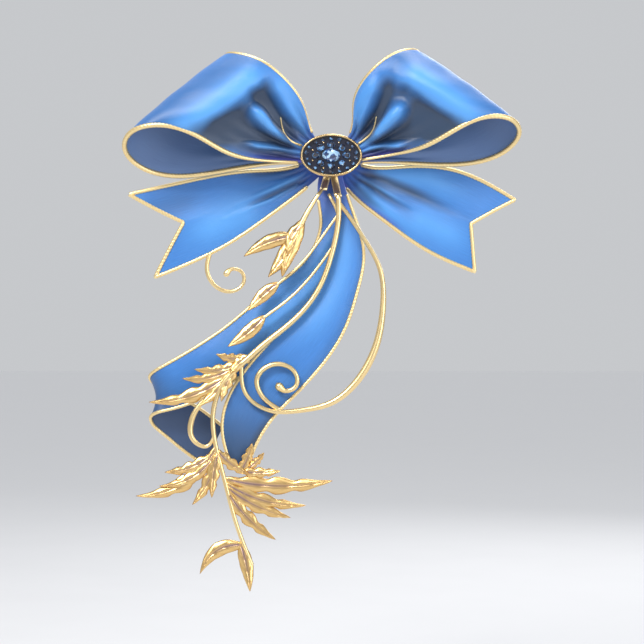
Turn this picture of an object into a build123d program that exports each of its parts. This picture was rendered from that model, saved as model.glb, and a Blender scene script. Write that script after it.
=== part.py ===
"""A pre-made gift bow of wired satin ribbon, with a jewelled brooch and a gold filigree drop.

Frame: millimetres, +Z up, the bow's front faces -Y. The origin is the centre of the adhesive pad's
rear face, which is sticky once its release paper is peeled off. Nothing lies behind it.

Two wide loops are gathered round the legs of a binding staple inside the knot band, and turn on them.
Two swallow-tailed ends, two long streamers, the filigree drop and the flower bud hang on one rivet
behind the band, each in its own layer, and turn on it. How far forward a layer lies depends only on
the distance from the rivet, so one layer can turn over the next without touching it.
"""
from math import cos, hypot, pi, sin
import os

from build123d import *

os.makedirs("parts", exist_ok=True)

# ---- driving dimensions ----------------------------------------------------------------------
RIBBON = 0.6            # satin ribbon with its woven hem, as a solid
EDGE_R = 0.7            # gold cord over the wire in each ribbon edge
EDGE_BEND = 1.4         # its bend at a cut ribbon's corners

PAD_T = 1.6
PAD_W, PAD_H = 27.0, 14.0
CARD_T = 1.0
CARD_W, CARD_H = 30.0, 15.4

STACK_START = 3.3       # depth of the first layer's middle at the rivet
NEAR_PITCH, FAR_PITCH = 1.0, 2.4  # layer spacing behind the band, and from 10 mm beyond it
BAND_REACH = 8.0        # the layers lie flat this far from the rivet
SPREAD = 10.0           # and fan out over this distance
LEAN = 0.07             # forward lean of every layer per mm after that
CROWD = 1.6             # how strongly a ribbon's stations bunch towards the rivet
LOOP_STATIONS = 19
TAIL_STATIONS = 14
FOLD_FROM = 0.7         # the outer streamer's close stations round its fold start this far along it
# each layer's place in the stack; the thicker the piece, the more room it gets
TAIL_LEFT, TAIL_RIGHT, STREAMER_OUTER, STREAMER_INNER, FILIGREE, BUD = 0, 1.1, 2.3, 3.5, 4.9, 6.1

RIVET_R = 1.0
EYE_CLEARANCE = 0.06
RIVET_HEAD_R, RIVET_HEAD_T = 2.4, 0.5
EYE_R, EYE_T = 4.2, 0.6
METAL_EYE_R = 2.8

BAND_HALF_W = 6.0       # the knot band runs from -6 to 6 in X
BAND_T = 0.8
BAND_BACK, BAND_FRONT = 10.7, 18.8
BAND_LOW, BAND_HIGH = -7.5, 9.2
BAND_CORNER = 2.4

PIN_X = 3.0             # the staple's legs, on which the loops turn
PIN_DEPTH = (BAND_BACK + BAND_FRONT) / 2
PIN_R = 0.5
GATHER_R = 2.1
GATHER_LOW, GATHER_HIGH = -4.3, 6.4
STAPLE_LOW, STAPLE_TOP = -5.6, 7.7

BROOCH_RX, BROOCH_RZ = 13.5, 9.35
BEZEL_WALL, BEZEL_H = 1.1, 3.2
BACKPLATE_RX, BACKPLATE_RZ, BACKPLATE_T = 9.6, 6.4, 1.4
BED_T = 1.5
CENTRE_STONE_RX, CENTRE_STONE_RZ, CENTRE_STONE_H = 3.9, 3.0, 2.6
HALO_COUNT, HALO_R, HALO_H = 8, 1.75, 1.9
RIM_COUNT, RIM_R, RIM_H = 18, 0.9, 1.3
PRONG_R = 0.38
POST_X, POST_R, POST_L = 4.2, 0.6, 0.6

STEM_R = 1.2            # main filigree stems
TWIG_R = 0.75           # thin filigree lines
LEAF_T = 1.4            # stamped leaves
LUG_W = 3.2             # flat lug between a metal eye and its stem


# ---- shared geometry -------------------------------------------------------------------------
def depth(layer, x, z):
    """How far in front of the origin a layer's middle lies at a point seen from the front."""
    beyond = max(hypot(x, z) - BAND_REACH, 0)
    pitch = NEAR_PITCH + (FAR_PITCH - NEAR_PITCH) * min(beyond / SPREAD, 1)
    return STACK_START + layer * pitch + LEAN * beyond


def on_layer(layer, points):
    """Front-view points (x, z) or (x, z, how far behind the layer) as vectors on that layer."""
    return [Vector(x, -depth(layer, x, z) + (behind[0] if behind else 0), z) for x, z, *behind in points]


def stations(count, crowd=1.0, reach=1.0):
    """Places from 0 up to reach along a curve; crowd above 1 bunches them near its start."""
    return [reach * (i / (count - 1)) ** crowd for i in range(count)]


def smooth(points, places):
    """Points at the given places, 0 to 1, along a smooth curve through the points."""
    curve = Spline(*[Vector(*p) for p in points])
    found = [curve @ place for place in places]
    return [(v.X, v.Y, v.Z) for v in found]


def front_plane(depth_in_front):
    """A sketch plane seen from the front: local x is X, local y is Z, and the normal is -Y."""
    return Plane(origin=(0, -depth_in_front, 0), x_dir=(1, 0, 0), z_dir=(0, -1, 0))


def ribbon(edge_a, edge_b):
    """A strip lofted through thin rectangles that reach from one edge to the other."""
    middles = [(a + b) / 2 for a, b in zip(edge_a, edge_b)]
    with BuildPart() as strip:
        for i, (a, b) in enumerate(zip(edge_a, edge_b)):
            along = middles[min(i + 1, len(middles) - 1)] - middles[max(i - 1, 0)]
            across = b - a
            normal = along - across * (along.dot(across) / across.dot(across))
            with BuildSketch(Plane(origin=middles[i], x_dir=across, z_dir=normal)):
                Rectangle(across.length, RIBBON)
        loft(ruled=True)
    return strip


def cord(points, radius):
    """A round cord along a smooth curve."""
    with BuildPart() as wire:
        with BuildLine() as path:
            Spline(*points)
        with BuildSketch(Plane(origin=path.line @ 0, z_dir=path.line % 0)):
            Circle(radius)
        sweep()
    return wire


def bent_cord(points, radius, bend):
    """A round cord along straight runs, with a small bend at each corner."""
    with BuildPart() as wire:
        with BuildLine() as path:
            FilletPolyline(*points, radius=bend)
        with BuildSketch(Plane(origin=path.line @ 0, z_dir=path.line % 0)):
            Circle(radius)
        sweep()
    return wire


def eye(layer, radius):
    """The round eye by which a layer hangs on the rivet, added to the piece being built."""
    with Locations((0, -depth(layer, 0, 0), 0)):
        Cylinder(radius, EYE_T, rotation=(90, 0, 0))


def drill(layer):
    """The eye's hole, which turns freely on the rivet."""
    with Locations((0, -depth(layer, 0, 0), 0)):
        Cylinder(RIVET_R + EYE_CLEARANCE, 4 * EYE_T, rotation=(90, 0, 0), mode=Mode.SUBTRACT)


def save(piece, name):
    piece.part.label = name
    export_step(piece.part, f"parts/{name}.step")


def plate(rx, rz, depth_in_front, thickness):
    """An oval plate that grows towards the front."""
    with BuildPart() as disc:
        with BuildSketch(front_plane(depth_in_front)):
            Ellipse(rx, rz)
        extrude(amount=thickness)
    return disc


# ---- backing: pad, card, rivet ----------------------------------------------------------------
def backing():
    with BuildPart() as pad:
        with BuildSketch(front_plane(0)):
            Ellipse(PAD_W / 2, PAD_H / 2)
        extrude(amount=PAD_T)
        with BuildSketch(front_plane(PAD_T - RIVET_HEAD_T)):
            Circle(RIVET_HEAD_R)
        extrude(amount=RIVET_HEAD_T, mode=Mode.SUBTRACT)
    save(pad, "adhesive_pad")

    with BuildPart() as card:
        with BuildSketch(front_plane(PAD_T)):
            Ellipse(CARD_W / 2, CARD_H / 2)
            Circle(RIVET_R, mode=Mode.SUBTRACT)
        extrude(amount=CARD_T)
    save(card, "backing_card")

    with BuildPart() as rivet:
        with BuildSketch(front_plane(PAD_T - RIVET_HEAD_T)):
            Circle(RIVET_HEAD_R)
        extrude(amount=RIVET_HEAD_T)
        with BuildSketch(front_plane(PAD_T)):
            Circle(RIVET_R)
        extrude(amount=BAND_BACK - PAD_T)
        with BuildSketch(front_plane(BAND_BACK - RIVET_HEAD_T)):
            Circle(RIVET_HEAD_R)
        extrude(amount=RIVET_HEAD_T)
    save(rivet, "centre_rivet")


# ---- knot: band and binding staple ------------------------------------------------------------
def knot():
    side = Plane(origin=(-BAND_HALF_W, 0, 0), x_dir=(0, -1, 0), z_dir=(-1, 0, 0))
    with BuildPart() as band:
        with BuildSketch(side):
            with Locations((PIN_DEPTH, (BAND_LOW + BAND_HIGH) / 2)):
                RectangleRounded(BAND_FRONT - BAND_BACK, BAND_HIGH - BAND_LOW, BAND_CORNER)
                RectangleRounded(BAND_FRONT - BAND_BACK - 2 * BAND_T, BAND_HIGH - BAND_LOW - 2 * BAND_T,
                                 BAND_CORNER - BAND_T, mode=Mode.SUBTRACT)
        extrude(amount=-2 * BAND_HALF_W)
        with BuildSketch(front_plane(BAND_FRONT - 2 * BAND_T)):
            with Locations((-POST_X, 0), (POST_X, 0)):
                Circle(POST_R)
        extrude(amount=3 * BAND_T, mode=Mode.SUBTRACT)
    save(band, "knot_band")

    legs = [Vector(x, -PIN_DEPTH, z) for x, z in
            ((-PIN_X, STAPLE_LOW), (-PIN_X, STAPLE_TOP), (PIN_X, STAPLE_TOP), (PIN_X, STAPLE_LOW))]
    save(bent_cord(legs, PIN_R, 1.0), "binding_staple")


# ---- brooch -----------------------------------------------------------------------------------
def around(count, rx, rz, start=0.0):
    """Places spread evenly round an ellipse, seen from the front."""
    return [(rx * cos(start + 2 * pi * i / count), rz * sin(start + 2 * pi * i / count)) for i in range(count)]


def cut_stones(places, rx, rz, height, bed):
    """Eight-sided stones: a straight girdle under a crown that narrows to a flat table."""
    girdle, table = around(8, rx, rz, pi / 8), around(8, 0.6 * rx, 0.6 * rz, pi / 8)
    with BuildPart() as stones:
        for place in places:
            with BuildSketch(front_plane(bed)):
                with Locations(place):
                    Polygon(*girdle, align=None)
            extrude(amount=0.4 * height)
            with BuildSketch(front_plane(bed + 0.4 * height)):
                with Locations(place):
                    Polygon(*girdle, align=None)
            with BuildSketch(front_plane(bed + height)):
                with Locations(place):
                    Polygon(*table, align=None)
            loft()
    return stones


def brooch():
    with BuildPart() as posts:
        with BuildSketch(front_plane(BAND_FRONT - BAND_T - POST_L)):
            with Locations((-POST_X, 0), (POST_X, 0)):
                Circle(POST_R)
        extrude(amount=BAND_T + POST_L)
    save(posts, "brooch_posts")

    save(plate(BACKPLATE_RX, BACKPLATE_RZ, BAND_FRONT, BACKPLATE_T), "brooch_backplate")

    floor = BAND_FRONT + BACKPLATE_T
    with BuildPart() as bezel:
        with BuildSketch(front_plane(floor)):
            Ellipse(BROOCH_RX, BROOCH_RZ)
            Ellipse(BROOCH_RX - BEZEL_WALL, BROOCH_RZ - BEZEL_WALL, mode=Mode.SUBTRACT)
        extrude(amount=BEZEL_H)
        chamfer(bezel.faces().sort_by(Axis.Y)[0].edges(), 0.3)
    save(bezel, "brooch_bezel")

    save(plate(BROOCH_RX - BEZEL_WALL, BROOCH_RZ - BEZEL_WALL, floor, BED_T), "brooch_bed")

    bed = floor + BED_T
    save(cut_stones([(0, 0)], CENTRE_STONE_RX, CENTRE_STONE_RZ, CENTRE_STONE_H, bed), "centre_stone")
    halo = around(HALO_COUNT, 6.55, 4.7)
    save(cut_stones(halo, HALO_R, HALO_R * 0.86, HALO_H, bed), "halo_stones")
    rim = around(RIM_COUNT, 10.9, 7.3, pi / RIM_COUNT)
    save(cut_stones(rim, RIM_R, RIM_R * 0.9, RIM_H, bed), "rim_stones")

    with BuildPart() as prongs:
        with BuildSketch(front_plane(bed)):
            with Locations(*around(HALO_COUNT, 8.75, 6.0, pi / HALO_COUNT)):
                Circle(PRONG_R)
        extrude(amount=1.6)
    save(prongs, "stone_prongs")


# ---- loops ------------------------------------------------------------------------------------
def loop(name, side, lower, upper):
    """A ribbon loop between two (x, y, z) rails, each from the knot's front, over the fold, to its back."""
    low = [Vector(*p) for p in smooth(lower, stations(LOOP_STATIONS))]
    high = [Vector(*p) for p in smooth(upper, stations(LOOP_STATIONS))]
    strip = ribbon(low, high)
    with BuildPart() as body:
        add(strip.part)
        with Locations((side * PIN_X, -PIN_DEPTH, GATHER_LOW)):
            Cylinder(GATHER_R, GATHER_HIGH - GATHER_LOW, align=(Align.CENTER, Align.CENTER, Align.MIN))
            Cylinder(PIN_R + EYE_CLEARANCE, 60, mode=Mode.SUBTRACT)
    save(body, name + "_ribbon")
    save(cord(low[1:-1], EDGE_R), name + "_lower_edge")
    save(cord(high[1:-1], EDGE_R), name + "_upper_edge")


def loops():
    front, back = -(PIN_DEPTH + 1.4), -(PIN_DEPTH - 1.4)
    loop("loop_left", -1,
         [(-4, front, -3), (-14, -16.6, -2.6), (-30, -21.5, -2.2), (-45, -29.4, 0.6), (-58, -35.4, 7.4),
          (-74, -38.4, 11.4), (-86, -34.4, 8.5), (-89.2, -26.4, 2), (-82, -18, -5.4), (-66, -14, -8.4),
          (-45, -13.4, -5.6), (-24, -13.4, -2.8), (-4, back, -3)],
         [(-4, front, 4.8), (-7.8, -17, 9.5), (-12, -22.4, 20.8), (-20, -28.4, 32), (-29, -31.4, 39),
          (-38.5, -29, 42.8), (-45.4, -22.4, 43.8), (-44.5, -16, 42), (-37, -12.9, 36.5), (-27, -12.4, 28),
          (-17, -12.9, 17.5), (-9, -13.4, 9), (-4, back, 4.8)])
    loop("loop_right", 1,
         [(4, front, -3), (14, -16.6, -1.4), (28, -21, 0.6), (41, -28.4, 3.6), (53, -34.4, 9.8),
          (66, -37.4, 15), (77, -34.4, 14.2), (81.2, -26.4, 9), (75, -18, 1.6), (61, -14, -2.7),
          (43, -13.4, -3.2), (23, -13.4, -2.2), (4, back, -3)],
         [(4, front, 4.8), (7.8, -17, 9.4), (9.6, -22.4, 22), (14.2, -28.4, 32), (22, -31.4, 39.6),
          (31, -29, 44.4), (37.6, -22.4, 45), (37, -16, 43), (31, -12.9, 37), (23.4, -12.4, 28.4),
          (15, -12.9, 18), (9, -13.4, 9), (4, back, 4.8)])


# ---- swallow-tailed ends ----------------------------------------------------------------------
def tail(name, layer, lower, upper, notch):
    """A flared end whose cut runs from the upper tip, in to the notch, and out to the lower tip."""
    low = on_layer(layer, smooth(lower, stations(TAIL_STATIONS, CROWD)))
    high = on_layer(layer, smooth(upper, stations(TAIL_STATIONS, CROWD)))
    strip = ribbon(low, high)
    beyond = 2 * notch[0]
    with BuildPart() as body:
        add(strip.part)
        eye(layer, EYE_R)
        drill(layer)
        with BuildSketch(front_plane(0)):
            with BuildLine():
                Polyline(upper[-1], notch, lower[-1], (beyond, lower[-1][1]), (beyond, upper[-1][1]), close=True)
            make_face()
        extrude(amount=40, mode=Mode.SUBTRACT)
    save(body, name + "_ribbon")
    cut = Vector(notch[0], (low[-1].Y + high[-1].Y) / 2, notch[1])
    save(bent_cord(high[4:] + [cut] + low[:3:-1], EDGE_R, EDGE_BEND), name + "_edge")


def tails():
    tail("tail_left", TAIL_LEFT,
         [(-1.2, -4), (-9.5, -11.5), (-24, -22.8), (-46, -38), (-77.8, -52.7)],
         [(-3.6, 3), (-15, -3), (-36, -5.5), (-62, -9.8), (-89.3, -16.1)],
         (-72.2, -27.9))
    tail("tail_right", TAIL_RIGHT,
         [(1.2, -4), (6, -12), (22.2, -26.6), (41.8, -40.4), (63.4, -50.3)],
         [(3.6, 3), (14, -3), (34, -3.7), (55, -5.6), (81, -18.7)],
         (64, -26.6))
    curl = [(-53.4, -41.4), (-54.9, -49.5), (-51, -56.8), (-43.8, -58.9), (-38.8, -55.2), (-39.6, -50.4),
            (-44.4, -49.2), (-47, -52.4)]
    save(cord(on_layer(TAIL_LEFT, curl), EDGE_R + 0.1), "tail_left_curl")


# ---- streamers --------------------------------------------------------------------------------
def streamer(name, layer, left, right, places):
    """A long ribbon whose two gold edges are given as front-view points, from the rivet downwards."""
    a = on_layer(layer, smooth(left, places))
    b = on_layer(layer, smooth(right, places))
    strip = ribbon(a, b)
    with BuildPart() as body:
        add(strip.part)
        eye(layer, EYE_R)
        drill(layer)
    save(body, name + "_ribbon")
    save(cord(a[4:], EDGE_R), name + "_left_edge")
    save(cord(b[4:], EDGE_R), name + "_right_edge")


def streamers():
    streamer("streamer_outer", STREAMER_OUTER,
             [(-4, -2, 0), (-6, -14, 0), (-4.5, -29, 0), (-12, -46, 0), (-27, -58.5, 0), (-44, -73, 0),
              (-60, -84, 0), (-73, -91.5, 1), (-78.2, -94.6, 2.7), (-80, -97, 6), (-78.4, -99.6, 9.3),
              (-73, -103, 11), (-60, -110, 12), (-48, -119, 12)],
             [(4, -2, 0), (5, -14, 0), (9, -32, 0), (4, -55, 0), (-11, -73, 0), (-30, -89.5, 0),
              (-48, -101.5, 0), (-70, -110.6, 1), (-77.4, -112.6, 2.7), (-79.5, -114.6, 6), (-78.6, -118, 9.3),
              (-75, -121.5, 11), (-66, -129, 12), (-56, -136, 12)],
             stations(15, CROWD, FOLD_FROM) + [FOLD_FROM + (1 - FOLD_FROM) * i / 20 for i in range(1, 21)])
    streamer("streamer_inner", STREAMER_INNER,
             [(-4, -2), (-2, -14), (3, -25), (1.5, -38), (-3, -54), (-13, -68), (-25.5, -80), (-37, -93),
              (-45, -106), (-47.5, -119), (-44, -134)],
             [(4, -2), (6.5, -14), (11, -28), (14.3, -42), (11.5, -59), (6, -75.5), (-3, -90), (-14.5, -103),
              (-25.5, -114.5), (-32, -124.5), (-37, -136.5)],
             stations(21, CROWD))


# ---- gold filigree drop -----------------------------------------------------------------------
def stem(name, layer, radius, points):
    """A wire stem with a flat lug that ends in the eye on the rivet."""
    start_x, start_z = points[0]
    lug_left = smooth([(-LUG_W / 2, -1), (start_x - LUG_W / 2, start_z - 1)], stations(6))
    lug_right = smooth([(LUG_W / 2, -1), (start_x + LUG_W / 2, start_z - 1)], stations(6))
    lug = ribbon(on_layer(layer, lug_left), on_layer(layer, lug_right))
    wire = cord(on_layer(layer, points), radius)
    with BuildPart() as body:
        add(lug.part)
        add(wire.part)
        eye(layer, METAL_EYE_R)
        drill(layer)
    save(body, name)


def leaves(name, layer, thickness, hub, hub_r, outlines):
    """Flat stamped leaves that meet in a round hub. Each is (base, tip, width, lean), a lens from the front."""
    middle = [sum(p[k] for o in outlines for p in o[:2]) / (2 * len(outlines)) for k in (0, 1)]
    with BuildPart() as spray:
        with BuildSketch(front_plane(depth(layer, *middle) - thickness / 2)):
            with Locations(hub):
                Circle(hub_r)
            for base, tip, width, lean in outlines:
                with BuildLine():
                    SagittaArc(base, tip, width / 2 + lean)
                    SagittaArc(tip, base, width / 2 - lean)
                make_face()
        extrude(amount=thickness)
    save(spray, name)


def wires(name, layer, radius, points):
    save(cord(on_layer(layer, points), radius), name)


def filigree():
    stem("filigree_main_stem", FILIGREE, STEM_R,
         [(3.1, -16.5), (3.3, -26), (0.5, -42), (-6, -59), (-17, -72.3), (-29, -82), (-38, -90), (-46, -98),
          (-51, -110), (-50.5, -124), (-46.5, -140), (-41, -160), (-34, -178)])
    wires("filigree_c_stem", FILIGREE, STEM_R,
          [(3.4, -20), (8.5, -27), (15, -37), (21.2, -49), (22.6, -66), (19.5, -83), (11.8, -97.5),
           (0, -107.6), (-14, -111), (-28, -110.6), (-37.5, -103), (-39, -91.4)])
    wires("filigree_spiral", FILIGREE, TWIG_R + 0.2,
          [(-22, -110.8), (-30.5, -104), (-32.2, -97), (-27.5, -91.8), (-20.5, -91.2), (-15.5, -95),
           (-15.6, -100.6), (-20, -102.4), (-23.8, -99)])

    wires("leaf_drop_upper_stem", FILIGREE, TWIG_R, [(3.2, -25), (-5.2, -37), (-14, -48), (-24, -56.4)])
    wires("leaf_drop_lower_stem", FILIGREE, TWIG_R, [(1, -39), (-4.6, -47), (-18, -62), (-30, -71)])
    leaves("leaf_drop_upper", FILIGREE, LEAF_T, (-23.6, -56.6), 1.2, [((-23, -56), (-36.2, -67.6), 4.4, 0.6)])
    leaves("leaf_drop_lower", FILIGREE, LEAF_T, (-29.6, -71.2), 1.2, [((-29, -70.6), (-45, -83.2), 4.4, -0.8)])

    leaves("filigree_upper_leaves", FILIGREE, LEAF_T, (-40.6, -91), 3.2,
           [((-36, -88), (-50, -86.4), 3.2, -1.3), ((-40, -91), (-59.4, -93), 3.2, -2),
            ((-44, -94), (-64.6, -97), 3.4, -2.2)])
    leaves("filigree_long_leaf", FILIGREE, LEAF_T, (-47, -98.6), 1.8, [((-46, -98), (-79, -107.2), 4.6, -3.4)])
    leaves("filigree_down_leaves", FILIGREE, LEAF_T, (-43, -94.6), 2.2,
           [((-44, -95), (-57.6, -109), 3.4, -1.4), ((-41, -92), (-47.6, -107), 3.6, 1.2)])
    wires("filigree_loop_leaf", FILIGREE, TWIG_R,
          [(-48, -101), (-57.5, -109), (-61, -117), (-59.5, -124), (-54, -126.4), (-50.8, -122)])

    leaves("filigree_left_spray", FILIGREE, LEAF_T, (-52.4, -132), 3.8,
           [((-50, -128), (-84.4, -147.6), 5.4, -6.5), ((-53, -131), (-72, -137.4), 3.6, -2),
            ((-55, -136), (-74.4, -143.4), 3.4, -2), ((-52, -132), (-60, -151.4), 5, -2),
            ((-50, -130), (-51.6, -148.4), 4.4, 0.6)])
    leaves("filigree_star_calyx", FILIGREE, LEAF_T, (-39.4, -136.6), 2.4,
           [((-48, -130), (-37.4, -137.6), 3.6, 1.2), ((-38.4, -138), (-34.2, -125), 4.4, 0.4),
            ((-38, -138), (-22, -137), 4, 0.8)])
    leaves("filigree_right_spray", FILIGREE, LEAF_T, (-41.4, -144), 3.6,
           [((-39, -142), (0.6, -141.2), 6, 2.2), ((-37, -143), (-11, -151.8), 4.2, 2.6),
            ((-42, -144), (-17.6, -157), 4.6, 1.6), ((-44, -146), (-24, -166.4), 4.8, 1.9)])
    leaves("filigree_tail_hook", FILIGREE, LEAF_T, (-37.4, -171), 2.2,
           [((-37, -170), (-56.6, -181), 5.4, 4.6), ((-38.6, -172), (-35, -189), 4.6, -0.8)])


def bud():
    stem("bud_stem", BUD, TWIG_R + 0.1, [(-3.4, -13.6), (-7, -19), (-11.4, -26.5), (-16, -36)])
    leaves("bud_flower", BUD, 2.0, (-14.4, -33), 2.6,
           [((-12.4, -28), (-21.4, -53), 6, 1), ((-17, -38), (-27.4, -53), 5, -1.1),
            ((-15, -36), (-38, -44), 5.2, 2)])


backing()
knot()
brooch()
loops()
tails()
streamers()
filigree()
bud()
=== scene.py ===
"""Looks for the pre-made gift bow. Lengths in the tables are millimetres, seen from the front as (x, z)."""
import math

import bpy
import numpy as np
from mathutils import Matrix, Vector


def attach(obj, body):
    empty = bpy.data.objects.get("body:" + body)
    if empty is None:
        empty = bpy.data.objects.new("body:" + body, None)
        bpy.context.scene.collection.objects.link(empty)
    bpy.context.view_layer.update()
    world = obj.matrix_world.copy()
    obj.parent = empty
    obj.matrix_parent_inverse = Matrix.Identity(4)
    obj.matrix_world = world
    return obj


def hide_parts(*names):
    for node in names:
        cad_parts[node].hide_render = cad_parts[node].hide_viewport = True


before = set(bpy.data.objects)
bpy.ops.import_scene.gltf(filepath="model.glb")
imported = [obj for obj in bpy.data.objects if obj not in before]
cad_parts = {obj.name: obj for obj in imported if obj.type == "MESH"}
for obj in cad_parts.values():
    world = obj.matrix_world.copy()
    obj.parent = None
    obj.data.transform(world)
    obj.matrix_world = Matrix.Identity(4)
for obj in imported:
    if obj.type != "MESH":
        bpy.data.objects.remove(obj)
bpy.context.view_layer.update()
MM = 0.001

# ---- the layers behind the band, as in the CAD model -----------------------------------------
STACK_START = 3.3       # depth of the first layer's middle at the rivet
NEAR_PITCH, FAR_PITCH = 1.0, 2.4  # layer spacing behind the band, and SPREAD beyond it
BAND_REACH = 8.0        # the layers lie flat this far from the rivet
SPREAD = 10.0           # and fan out over this distance
LEAN = 0.07             # forward lean of every layer per mm after that
TAIL_LEFT, TAIL_RIGHT, STREAMER_OUTER, STREAMER_INNER, FILIGREE, BUD = 0, 1.1, 2.3, 3.5, 4.9, 6.1


def depth(layer, x, z):
    """How far in front of the pad's rear face a layer's middle lies."""
    beyond = np.maximum(np.hypot(x, z) - BAND_REACH, 0)
    pitch = NEAR_PITCH + (FAR_PITCH - NEAR_PITCH) * np.minimum(beyond / SPREAD, 1)
    return STACK_START + layer * pitch + LEAN * beyond


def spline(points, t):
    """A natural cubic through the points, read at t from 0 to 1 by chord length."""
    p = np.array(points, float)
    k = np.concatenate([[0], np.cumsum(np.linalg.norm(np.diff(p, axis=0), axis=1))])
    h = np.diff(k)
    n = len(p)
    a, b = np.zeros((n, n)), np.zeros((n, p.shape[1]))
    a[0, 0] = a[-1, -1] = 1
    for i in range(1, n - 1):
        a[i, i - 1:i + 2] = h[i - 1], 2 * (h[i - 1] + h[i]), h[i]
        b[i] = 6 * ((p[i + 1] - p[i]) / h[i] - (p[i] - p[i - 1]) / h[i - 1])
    m = np.linalg.solve(a, b)
    s = np.clip(np.asarray(t, float), 0, 1) * k[-1]
    i = np.clip(np.searchsorted(k, s) - 1, 0, n - 2)
    hi, lo = (k[i + 1] - s)[:, None], (s - k[i])[:, None]
    w = h[i][:, None]
    return (m[i] * hi ** 3 + m[i + 1] * lo ** 3) / (6 * w) + (p[i] / w - m[i] * w / 6) * hi \
        + (p[i + 1] / w - m[i + 1] * w / 6) * lo


def on_layer(layer, flat):
    """Front-view rows (x, z) or (x, z, behind) as rows (x, y, z) on a layer."""
    flat = np.asarray(flat, float)
    back = flat[:, 2] if flat.shape[1] > 2 else 0.0
    return np.stack([flat[:, 0], back - depth(layer, flat[:, 0], flat[:, 1]), flat[:, 1]], axis=1)


def bump(x, centre, width):
    """A smooth hump of height 1."""
    return np.exp(-((x - centre) / width) ** 2)


def ease(x, a, b):
    """0 up to a, 1 from b, smooth between."""
    x = np.clip((x - a) / (b - a), 0, 1)
    return x * x * (3 - 2 * x)


def stroke(x, z, width, *points, fade=0.25):
    """1 on a front-view line through the points, falling off beside it and over its last part, fade."""
    nearest, along, run = np.full(x.shape, 1e9), np.zeros(x.shape), 0.0
    total = sum(math.dist(a, b) for a, b in zip(points, points[1:]))
    for (ax, az), (bx, bz) in zip(points, points[1:]):
        length = math.hypot(bx - ax, bz - az)
        t = np.clip(((x - ax) * (bx - ax) + (z - az) * (bz - az)) / length ** 2, 0, 1)
        off = np.hypot(x - ax - t * (bx - ax), z - az - t * (bz - az))
        along = np.where(off < nearest, (run + t * length) / total, along)
        nearest = np.minimum(nearest, off)
        run += length
    return np.exp(-(nearest / width) ** 2) * (1 - 0.9 * ease(along, 1 - fade, 1.0))


# ---- meshes ----------------------------------------------------------------------------------
def finish_mesh(name, verts, faces, body, materials, nodes=(), face_materials=None, smooth=True,
                shade=None, uv=None):
    mesh = bpy.data.meshes.new(name)
    mesh.from_pydata([tuple(v * MM) for v in verts], [], faces)
    for m in materials:
        mesh.materials.append(m)
    if face_materials is not None:
        mesh.polygons.foreach_set("material_index", face_materials)
    mesh.polygons.foreach_set("use_smooth", [smooth] * len(mesh.polygons))
    if shade is not None:
        layer = mesh.attributes.new("shade", "FLOAT_COLOR", "POINT")
        layer.data.foreach_set("color", np.asarray(shade, float).ravel())
    if uv is not None:
        loops = mesh.uv_layers.new(name="UVMap").data
        index = np.zeros(len(mesh.loops), int)
        mesh.loops.foreach_get("vertex_index", index)
        loops.foreach_set("uv", np.asarray(uv, float)[index].ravel())
    mesh.update()
    obj = bpy.data.objects.new(name, mesh)
    bpy.context.scene.collection.objects.link(obj)
    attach(obj, body)
    if nodes:
        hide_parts(*nodes)
    return obj


def shell_faces(nu, nv):
    """Faces of a closed shell: an nu by nv front grid, the same grid again as its back, then the rim."""
    faces, low = [], nu * nv
    for i in range(nu - 1):
        for j in range(nv - 1):
            a, b, c, d = i * nv + j, (i + 1) * nv + j, (i + 1) * nv + j + 1, i * nv + j + 1
            faces += [(a, b, c, d), (low + d, low + c, low + b, low + a)]
    rim = [i * nv for i in range(nu)] + [(nu - 1) * nv + j for j in range(1, nv)]
    rim += [i * nv + nv - 1 for i in range(nu - 2, -1, -1)] + [j for j in range(nv - 2, 0, -1)]
    return faces + [(b, a, low + a, low + b) for a, b in zip(rim, rim[1:] + rim[:1])]


def normals(grid):
    du = np.gradient(grid, axis=0)
    dv = np.gradient(grid, axis=1)
    n = np.cross(du, dv)
    return n / np.maximum(np.linalg.norm(n, axis=2, keepdims=True), 1e-9)


def cloth(name, grid, body, materials, nodes, violet_shade, dark, painted_highlight, thickness=0.3):
    """A thin closed sheet over a grid of places, with its second material on the back.

    The painted purple shade, the painted shade and the painted highlight are each 0..1 over the same grid.
    They go to the satin as a painted attribute.
    """
    nu, nv = grid.shape[:2]
    n = normals(grid) * thickness / 2
    verts = np.concatenate([(grid + n).reshape(-1, 3), (grid - n).reshape(-1, 3)])
    faces = shell_faces(nu, nv)
    quads = (nu - 1) * (nv - 1)
    kinds = [0, 1] * quads + [0] * (len(faces) - 2 * quads)
    painted = [np.clip(c, 0, 1) for c in (violet_shade, dark, painted_highlight)]
    shade = np.stack(painted + [np.ones((nu, nv))], axis=2).reshape(-1, 4)
    run = np.concatenate([[0], np.cumsum(np.linalg.norm(np.diff(grid[:, nv // 2], axis=0), axis=1))])
    across = np.linalg.norm(grid[:, 0] - grid[:, -1], axis=1).max() * np.linspace(0, 1, nv)
    uv = np.stack(np.broadcast_arrays(run[:, None], across[None, :]), axis=2).reshape(-1, 2) * 0.01
    return finish_mesh(name, verts, faces, body, materials, nodes, kinds,
                       shade=np.tile(shade, (2, 1)), uv=np.tile(uv, (2, 1)))


def even(path, step):
    """The path resampled evenly, and each place's distance along it."""
    path = np.asarray(path, float)
    k = np.concatenate([[0], np.cumsum(np.linalg.norm(np.diff(path, axis=0), axis=1))])
    count = max(int(k[-1] / step), 4)
    s = np.linspace(0, k[-1], count + 1)
    return np.stack([np.interp(s, k, path[:, i]) for i in range(3)], axis=1), s


ROPE_PITCH = 3.2        # one turn of a rope's strands
ROPE_GROOVE = 0.22      # the depth between its strands, as a share of its radius


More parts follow.
